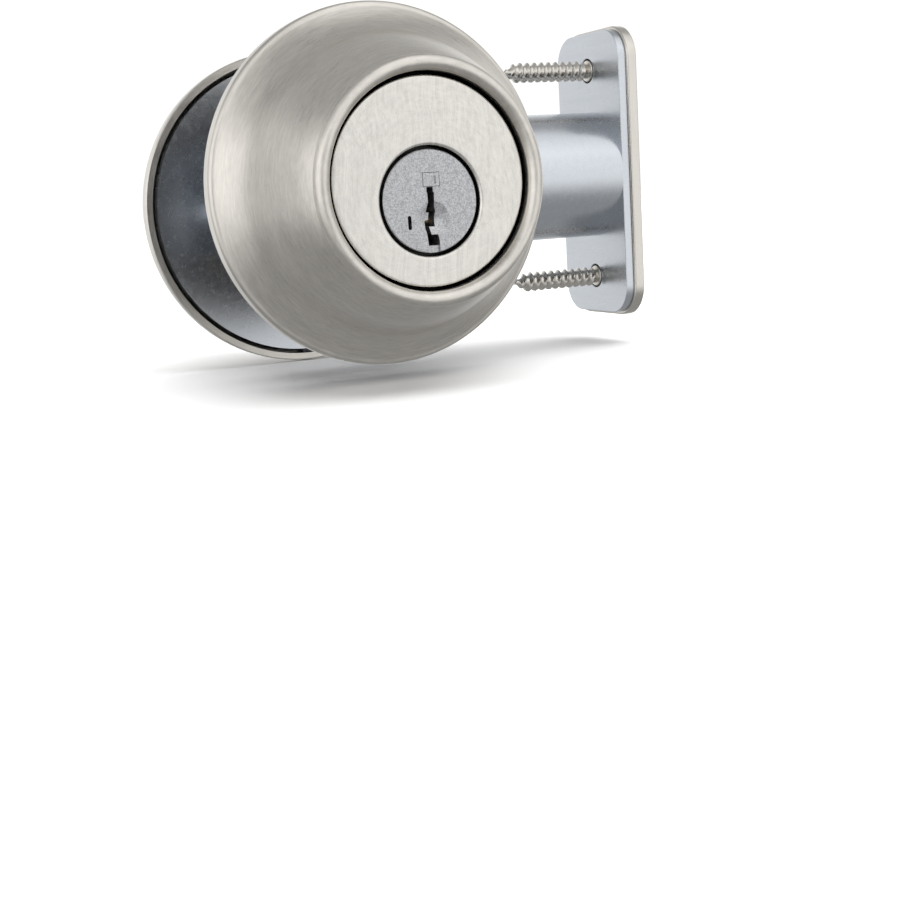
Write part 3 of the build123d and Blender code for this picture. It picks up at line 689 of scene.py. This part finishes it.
def rose_cover():
    """Flared cover on the inner side of the door, with its set screw hole."""
    wall = 1.4
    top_r = 16.0
    shoulder = 1.6
    bore = 7.05
    hub_r = 10.2
    hub_h = 11.5
    height = ROSE_TOP - ROSE_BACK
    foot = (ROSE_R - RIM_ROUND, RIM_H + RIM_ROUND)
    top = (top_r + shoulder, height - shoulder)
    side = clamped_spline([foot, (24.2, 6.6), top], (-1.6, 1), (-0.35, 1), 20)
    outer = [(ROSE_R - 0.25, 0.0), (ROSE_R, 0.25)]
    outer += arc((ROSE_R - RIM_ROUND, RIM_H), RIM_ROUND, 0, 90, 6)[:-1]
    outer += side[:-1]
    outer += arc((top_r, height - shoulder), shoulder, 0, 90, 10)
    roof = (top_r - 0.4, height - wall)
    under = clamped_spline([roof, (22.6, 6.0), (ROSE_R - wall, 2.6)], (0.35, -1), (1.6, -1), 12)
    inner = rounded_path(
        [
            (top_r, height, 0),
            (bore, height, 0.35),
            (bore, hub_h, 0.2),
            (hub_r, hub_h, 0.2),
            (hub_r, height - wall, 0),
            (*roof, 0),
        ],
        closed=False,
    )
    outline = outer + inner[1:-1] + under + [(ROSE_R - wall, 0.0)]
    rose = make_mesh("rose_cover", *lathe([(r, DOOR + h) for r, h in outline], TURN_Z))
    screw_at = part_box("rose_set_screw")
    middle = (screw_at[0] + screw_at[1]) / 2 / MM
    hole = arc((0, 0), 1.25, 0, 360, 32)[:-1]
    loops = [[(a, middle.y + b, z) for a, b in hole] for z in (middle.z - 4, middle.z + 4)]
    cut(rose, make_mesh("hole", *skin(loops)))
    return finish_piece(rose, "lock", "satin_nickel_rose", ["interior_rose"])


def stadium(y, half_thick, half_long, steps=96):
    """Loop round the turning axis with two half round ends, long along Z."""
    loop = []
    for i in range(steps):
        a = 2 * math.pi * (i + 0.5) / steps
        end = math.copysign(half_long - half_thick, math.sin(a))
        loop.append((half_thick * math.cos(a), y, TURN_Z + half_thick * math.sin(a) + end))
    return loop


def thumbturn():
    """Paddle that grows out of a round base, with its stem and journal in the rose."""
    top = ROSE_TOP
    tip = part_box("thumbturn")[1].y / MM
    half_long = (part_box("thumbturn")[1].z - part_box("thumbturn")[0].z) / 2 / MM
    stem_r = 6.0
    stem_end = DOOR - 2.0
    socket_r = 2.95
    socket_floor = DOOR + 10.5
    journal_r = 7.0
    journal_end = DOOR + 10.8
    base_r = 11.5
    base_h = 3.4
    base_round = 1.4
    round_sections = [
        (socket_floor, 0.4),
        (socket_floor, socket_r),
        (stem_end, socket_r),
        (stem_end, stem_r - 0.3),
        (stem_end + 0.3, stem_r),
        (DOOR + 9.2, stem_r),
        (journal_end, stem_r),
        (journal_end, journal_r),
        (top + 0.3, journal_r),
        (top + 0.3, base_r - 0.2),
        (top + 0.5, base_r),
    ]
    base_corner = (base_r - base_round, top + base_h - base_round)
    round_sections += [(y, r) for r, y in arc(base_corner, base_round, 0, 78, 7)]
    sections = [(y, r, r) for y, r in round_sections]
    start = (top + 3.33, 9.9, 10.0)
    neck = (top + 6.6, 3.6, 12.1)
    for i in range(1, 9):
        t = i / 9
        ease = 1 - (1 - t) ** 2.6
        thick = start[1] + (neck[1] - start[1]) * ease
        reach = start[2] + (neck[2] - start[2]) * t**1.6
        sections.append((start[0] + (neck[0] - start[0]) * t**1.5, thick, reach))
    sections.append(neck)
    edge = 2.6
    shoulder = tip - edge
    for i in range(1, 9):
        t = i / 8
        thick = neck[1] + 0.35 * t**2
        sections.append((neck[0] + (shoulder - neck[0]) * t, thick, neck[2] + (half_long - neck[2]) * t))
    widest = sections[-1][1]
    for i in range(1, 8):
        a = math.radians(90 * i / 7)
        inset = edge * (1 - math.cos(a))
        sections.append((shoulder + edge * math.sin(a), widest - inset, half_long - inset))
    sections.append((tip, 0.35, half_long - widest + 0.35))
    loops = [stadium(y, thick, reach) for y, thick, reach in sections]
    paddle = make_mesh("thumbturn_paddle", *skin(loops), sharp=38)
    return finish_piece(paddle, "turn", "satin_nickel_flat", ["thumbturn"])


# ---------------------------------------------------------------- bolt and its case


def bolt():
    """Bolt with a rounded nose and the slot in its tail for the drive bar."""
    wide = (BOLT_HIGH.y - BOLT_LOW.y) / MM
    tall = (BOLT_HIGH.z - BOLT_LOW.z) / MM
    nose = 0.9
    back = BOLT_LOW.x / MM
    levels = [(back, 0.3), (back + 0.3, 0.0)]
    for step in range(7):
        angle = math.radians(15 * step)
        levels.append((BACKSET - nose + nose * math.sin(angle), nose * (1 - math.cos(angle))))
    loops = []
    for x, inset in levels:
        section = rectangle(wide - 2 * inset, tall - 2 * inset, BOLT_CORNER - inset, steps=14)
        loops.append([(x, BOLT_Y + a, b) for a, b in section])
    piece = make_mesh("bolt_body", *skin(loops))
    slot_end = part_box("bolt_bar")[1].x / MM + 0.3
    slot_section = rectangle(3.1, 8.0, 0.1, z=7.0, steps=1)
    slot = [[(x, BOLT_Y + a, b) for a, b in slot_section] for x in (back - 1, slot_end)]
    cut(piece, make_mesh("slot", *skin(slot)))
    return finish_piece(piece, "bolt", "satin_nickel_flat", ["bolt"])


def edge_plates():
    """Faceplate and the plate behind it, both with the bolt's opening."""
    wide = 25.4
    tall = 57.15
    corner = 6.35
    opening_gap = 0.2
    bolt_wide = (BOLT_HIGH.y - BOLT_LOW.y) / MM
    bolt_tall = (BOLT_HIGH.z - BOLT_LOW.z) / MM
    for name, shrink, hole_r, bevel, slot, material in (
        ("bolt_faceplate", 0.0, 4.2, 0.35, "satin_nickel", "satin_nickel_flat"),
        ("bolt_backplate", 1.2, 2.4, 0.15, "zinc_plated_steel", "zinc_plated_steel"),
    ):
        low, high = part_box(name)
        outline = rectangle(wide - shrink, tall - shrink, corner - shrink / 2, steps=12)
        opening = (bolt_wide + 2 * opening_gap, bolt_tall + 2 * opening_gap)
        holes = [rectangle(*opening, BOLT_CORNER + opening_gap, steps=12)]
        holes += [circle(hole_r, 0, side * FACE_SCREW_Z, 48) for side in (-1, 1)]
        shape = plate(outline, holes, low.x / MM, high.x / MM, bevel)
        piece = make_mesh(name + "_plate", *moved(facing_x(shape), y=BOLT_Y))
        finish_piece(piece, "lock", material, [name])


def faceplate_screws():
    """Two countersunk wood screws with real threads."""
    head_r = 4.1
    head_h = 2.1
    neck_r = 2.1
    top = BACKSET - 0.05
    neck_end = top - 4.0
    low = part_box("faceplate_screws")[0].x / MM
    for number, side in enumerate((-1, 1), start=1):
        z = side * FACE_SCREW_Z
        head = rounded_path(
            [
                (AXIS_GAP, top, 0),
                (head_r, top, 0.15),
                (neck_r, top - head_h, 0.3),
                (neck_r, neck_end, 0.2),
                (AXIS_GAP, neck_end, 0),
            ],
            3,
        )
        blank = make_mesh("head", *moved(facing_x(lathe(head, 0, 64)), y=BOLT_Y, z=z))
        for part in cross_cutter(1.3, 0.8, 4.4, top):
            cut(blank, make_mesh("recess", *moved(facing_x(part), y=BOLT_Y, z=z)))
        ridge = thread(1.35, 2.0, 1.6, low, neck_end + 0.2, taper=3.0)
        ridge = moved(facing_x(ridge), y=BOLT_Y, z=z)
        shank = make_mesh("thread", *ridge, sharp=50)
        screw = joined(f"faceplate_screw_{number}", [blank, shank])
        replaced = ["faceplate_screws"] if number == 1 else []
        finish_piece(screw, "lock", "satin_nickel_flat", replaced)


def joined(name, pieces):
    """One object from several, each of which is removed."""
    bm = bmesh.new()
    for piece in pieces:
        bm.from_mesh(piece.data)
        bpy.data.objects.remove(piece)
    mesh = bpy.data.meshes.new(name)
    bm.to_mesh(mesh)
    bm.free()
    whole = bpy.data.objects.new(name, mesh)
    bpy.context.scene.collection.objects.link(whole)
    return whole


def mounting_screws():
    """Two machine screws from the mounting plate into the posts."""
    low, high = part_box("mounting_screws")
    head_r = 3.9
    head_h = 2.6
    top = high.y / MM
    seat = top - head_h
    head = rounded_path([(AXIS_GAP, top, 0), (head_r, top, 1.1), (head_r, seat, 0.2), (AXIS_GAP, seat, 0)], 5)
    for number, side in enumerate((-1, 1), start=1):
        blank = make_mesh("head", *moved(lathe(head, 0, 64), x=side * POST_X, z=TURN_Z))
        for part in cross_cutter(1.5, 0.9, 4.4, top):
            cut(blank, make_mesh("recess", *moved(part, x=side * POST_X, z=TURN_Z)))
        ridge = moved(thread(1.6, 2.0, 0.8, low.y / MM, seat + 0.2), x=side * POST_X, z=TURN_Z)
        shank = make_mesh("thread", *ridge, sharp=50)
        screw = joined(f"mounting_screw_{number}", [blank, shank])
        replaced = ["mounting_screws"] if number == 1 else []
        finish_piece(screw, "lock", "zinc_plated_steel", replaced)


def case_plates():
    """Side plates of the bolt case, with softened edges."""
    hub_hole_r = 5.45
    post_hole_r = 4.1
    rivet_r = 1.0
    rivet_z = -9.2
    left = -20.0
    step_x = 25.8
    end_x = 32.0
    low_z = -11.5
    high_z = 8.8
    tab_z = 7.2
    corners = [
        (left, low_z + 2.0, 1.0),
        (left + 2.0, low_z, 1.0),
        (step_x, low_z, 0.6),
        (step_x, -tab_z, 0.5),
        (end_x, -tab_z, 0.6),
        (end_x, tab_z, 0.6),
        (step_x, tab_z, 0.5),
        (step_x, high_z, 0.6),
        (left + 2.0, high_z, 1.0),
        (left, high_z - 2.0, 1.0),
    ]
    holes = [circle(hub_hole_r, 0, TURN_Z)]
    holes += [circle(post_hole_r, side * POST_X, TURN_Z) for side in (-1, 1)]
    holes += [circle(rivet_r, x, rivet_z, 24) for x in (-17.3, 22.0)]
    for name in ("case_plate_front", "case_plate_rear"):
        low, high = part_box(name)
        shape = plate(rounded_path(corners, 4), holes, low.y / MM, high.y / MM, 0.15)
        piece = make_mesh(name + "_sheet", *shape)
        finish_piece(piece, "lock", "zinc_plated_steel", [name])


# ---------------------------------------------------------------- springs


def coil(radius, wire, turns, length, steps_per_turn=28, around=10):
    """Compression spring along Z from 0, with its end turns closed up."""
    steps = int(turns * steps_per_turn)
    closed = 0.9
    loops = []
    centres = []
    for i in range(steps + 1):
        turn = i / steps_per_turn
        rise = min(1.0, turn / closed) * min(1.0, (turns - turn) / closed)
        centres.append(rise)
    total = sum(centres)
    z = wire
    for i in range(steps + 1):
        angle = 2 * math.pi * i / steps_per_turn
        out = Vector((math.cos(angle), math.sin(angle), 0))
        loop = []
        for j in range(around):
            a = 2 * math.pi * j / around
            at = out * (radius + wire * math.cos(a)) + Vector((0, 0, z + wire * math.sin(a)))
            loop.append(tuple(at))
        loops.append(loop)
        z += (length - 2 * wire) * centres[i] / total
    return skin(loops)


def plug_springs():
    """Coil springs above the followers and behind the locking bar."""
    followers = 5
    for number in range(1, followers + 1):
        name = f"follower_spring_{number}"
        low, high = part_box(name)
        centre = (low + high) / 2 / MM
        length = (high.z - low.z) / MM
        shape = moved(coil(0.75, 0.14, 7.5, length), centre.x, centre.y, low.z / MM)
        spring = make_mesh(f"follower_coil_{number}", *shape)
        finish_piece(spring, "plug", "spring_steel", [name])
        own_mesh(spring)
    low, high = (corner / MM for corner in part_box("locking_bar_springs"))
    inset = 0.55
    for number, y in enumerate((low.y + inset, high.y - inset), start=1):
        verts, faces = coil(0.43, 0.1, 3.5, high.x - low.x)
        turned = [(c, a, b) for a, b, c in verts]
        placed = moved((turned, faces), low.x, y, (low.z + high.z) / 2)
        spring = make_mesh(f"bar_coil_{number}", *placed)
        replaced = ["locking_bar_springs"] if number == 1 else []
        finish_piece(spring, "plug", "spring_steel", replaced)


def wave_washer():
    """Thin ring with three waves."""
    low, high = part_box("wave_washer")
    front, back = low.y / MM, high.y / MM
    thick = 0.22
    inner_r = 7.15
    outer_r = 9.6
    waves = 3
    steps = 120
    swing = (back - front - thick) / 2
    half = thick / 2
    corners = [(inner_r, -half), (outer_r, -half), (outer_r, half), (inner_r, half)]
    loops = []
    for i in range(steps):
        angle = 2 * math.pi * i / steps
        middle = (front + back) / 2 + swing * math.cos(waves * angle)
        loops.append([(r * math.cos(angle), middle + d, TURN_Z + r * math.sin(angle)) for r, d in corners])
    washer = make_mesh("wave_washer_ring", *skin(loops, close=True))
    finish_piece(washer, "turn", "spring_steel", ["wave_washer"])


# ---------------------------------------------------------------- scene


CAMERA_AT = Vector((-92.75, -232.06, -1.96))
CAMERA_PAN = math.radians(24.05)
CAMERA_TILT = math.radians(-10.37)
CAMERA_ROLL = math.radians(-3.61)
CAMERA_LENS = 56.0
FLOOR_GAP = 0.2
SURROUND_R = 5200.0


def camera():
    """Camera at the key side, a little to the left, level with the lock."""
    data = bpy.data.cameras.new("camera")
    data.sensor_width = 36.0
    data.lens = CAMERA_LENS
    data.clip_start = 0.01
    data.clip_end = 20.0
    eye = bpy.data.objects.new("camera", data)
    bpy.context.scene.collection.objects.link(eye)
    flat = math.cos(CAMERA_TILT)
    ahead = Vector((math.sin(CAMERA_PAN) * flat, math.cos(CAMERA_PAN) * flat, math.sin(CAMERA_TILT)))
    right = Vector((math.cos(CAMERA_PAN), -math.sin(CAMERA_PAN), 0))
    up = right.cross(ahead)
    rolled_right = right * math.cos(CAMERA_ROLL) + up * math.sin(CAMERA_ROLL)
    rolled_up = up * math.cos(CAMERA_ROLL) - right * math.sin(CAMERA_ROLL)
    axes = Matrix((rolled_right, rolled_up, -ahead)).transposed()
    eye.matrix_world = Matrix.Translation(CAMERA_AT * MM) @ axes.to_4x4()
    bpy.context.scene.camera = eye


def backdrop():
    """Plain white surround that lights nothing and shows in no reflection."""
    bands = 30
    loops = []
    for step in range(bands + 1):
        angle = math.pi * step / bands
        ring = max(0.5, SURROUND_R * math.sin(angle))
        loops.append([(x, -SURROUND_R * math.cos(angle), z) for x, z in circle(ring, steps=48)])
    dome = make_mesh("backdrop", *skin(loops))
    material = bpy.data.materials.new("white_surround")
    material.use_nodes = True
    tree = material.node_tree
    tree.nodes.clear()
    glow = node(tree, "ShaderNodeEmission", Strength=1.05)
    output = tree.nodes.new("ShaderNodeOutputMaterial")
    tree.links.new(glow.outputs[0], output.inputs[0])
    dome.data.materials.append(material)
    dome.visible_diffuse = False
    dome.visible_glossy = False
    dome.visible_transmission = False
    dome.visible_shadow = False


def floor():
    """Plain pale floor just under the lock. Metal mirrors the studio instead of it."""
    z = cad_low.z / MM - FLOOR_GAP
    edge = [(x, y, z) for x, y in circle(SURROUND_R - 50.0, steps=96)]
    ground = make_mesh("floor", edge, [tuple(range(len(edge)))])
    material, _, shader = new_material("pale_floor", metallic=0.0)
    shader.inputs["Base Color"].default_value = (0.86, 0.86, 0.86, 1)
    shader.inputs["Roughness"].default_value = 0.9
    ground.data.materials.append(material)
    ground.visible_glossy = False


def studio():
    """Soft light that varies by direction, with bright and dark patches for the metal, and a broad sun."""
    world = bpy.data.worlds.new("studio")
    bpy.context.scene.world = world
    world.use_nodes = True
    tree = world.node_tree
    links = tree.links
    background = tree.nodes["Background"]
    background.inputs["Color"].default_value = (1, 1, 1, 1)
    place = tree.nodes.new("ShaderNodeTexCoord")
    split = tree.nodes.new("ShaderNodeSeparateXYZ")
    links.new(place.outputs["Generated"], split.inputs[0])
    height = split.outputs[2]
    above = node(tree, "ShaderNodeMapRange", From_Min=0.28, From_Max=0.72, To_Min=1.12, To_Max=0.46)
    above.interpolation_type = "SMOOTHSTEP"
    links.new(height, above.inputs["Value"])
    below = node(tree, "ShaderNodeMapRange", From_Min=-0.06, From_Max=-0.62, To_Min=0.0, To_Max=-0.76)
    below.interpolation_type = "SMOOTHSTEP"
    links.new(height, below.inputs["Value"])
    total = math_node(tree, "ADD", above.outputs[0], below.outputs[0])
    # Each patch: its direction, the cosines of its edge and its core, and what it adds
    lobes = [
        (Vector((-0.78, -0.46, 0.42)), 0.70, 0.97, 0.24),
        (Vector((-0.85, 0.53, 0.0)), 0.80, 0.99, -0.42),
        (Vector((-0.10, -0.98, 0.0)), 0.90, 0.985, -0.45),
        (Vector((0.10, -0.74, 0.66)), 0.80, 0.98, 0.30),
        (Vector((0.37, -0.43, 0.82)), 0.82, 0.98, 0.60),
        (Vector((0.98, -0.14, 0.0)), 0.84, 0.99, -0.45),
    ]
    for towards, edge, core, gain in lobes:
        dot = tree.nodes.new("ShaderNodeVectorMath")
        dot.operation = "DOT_PRODUCT"
        links.new(place.outputs["Generated"], dot.inputs[0])
        dot.inputs[1].default_value = towards.normalized()
        lobe = node(tree, "ShaderNodeMapRange", From_Min=edge, From_Max=core, To_Min=0.0, To_Max=gain)
        lobe.interpolation_type = "SMOOTHSTEP"
        links.new(dot.outputs["Value"], lobe.inputs["Value"])
        total = math_node(tree, "ADD", total, lobe.outputs[0])
    links.new(total, background.inputs["Strength"])
    sun_data = bpy.data.lights.new("overhead", "SUN")
    sun_data.energy = 3.0
    sun_data.angle = math.radians(70)
    sun = bpy.data.objects.new("overhead", sun_data)
    sun.visible_glossy = False
    sun.matrix_world = Matrix.Rotation(math.radians(12), 4, "Y")
    bpy.context.scene.collection.objects.link(sun)
    bpy.context.scene.view_settings.view_transform = "Standard"


camera()
backdrop()
floor()
studio()
cylinder_guard()
cylinder_front()
rose_cover()
thumbturn()
bolt()
edge_plates()
faceplate_screws()
mounting_screws()
case_plates()
plug_springs()
wave_washer()

SLOT_MATERIALS = {"interior_rose": "satin_nickel_rose", "thumbturn": "satin_nickel_flat"}
SLOT_MATERIALS.update({name: "satin_nickel_flat" for name in ("bolt", "bolt_faceplate", "faceplate_screws")})
for entry in frame["record"]["subparts"]:
    name = entry["node"]
    paint(frame["nodes"][name], SLOT_MATERIALS.get(name, entry["material_slot"]))
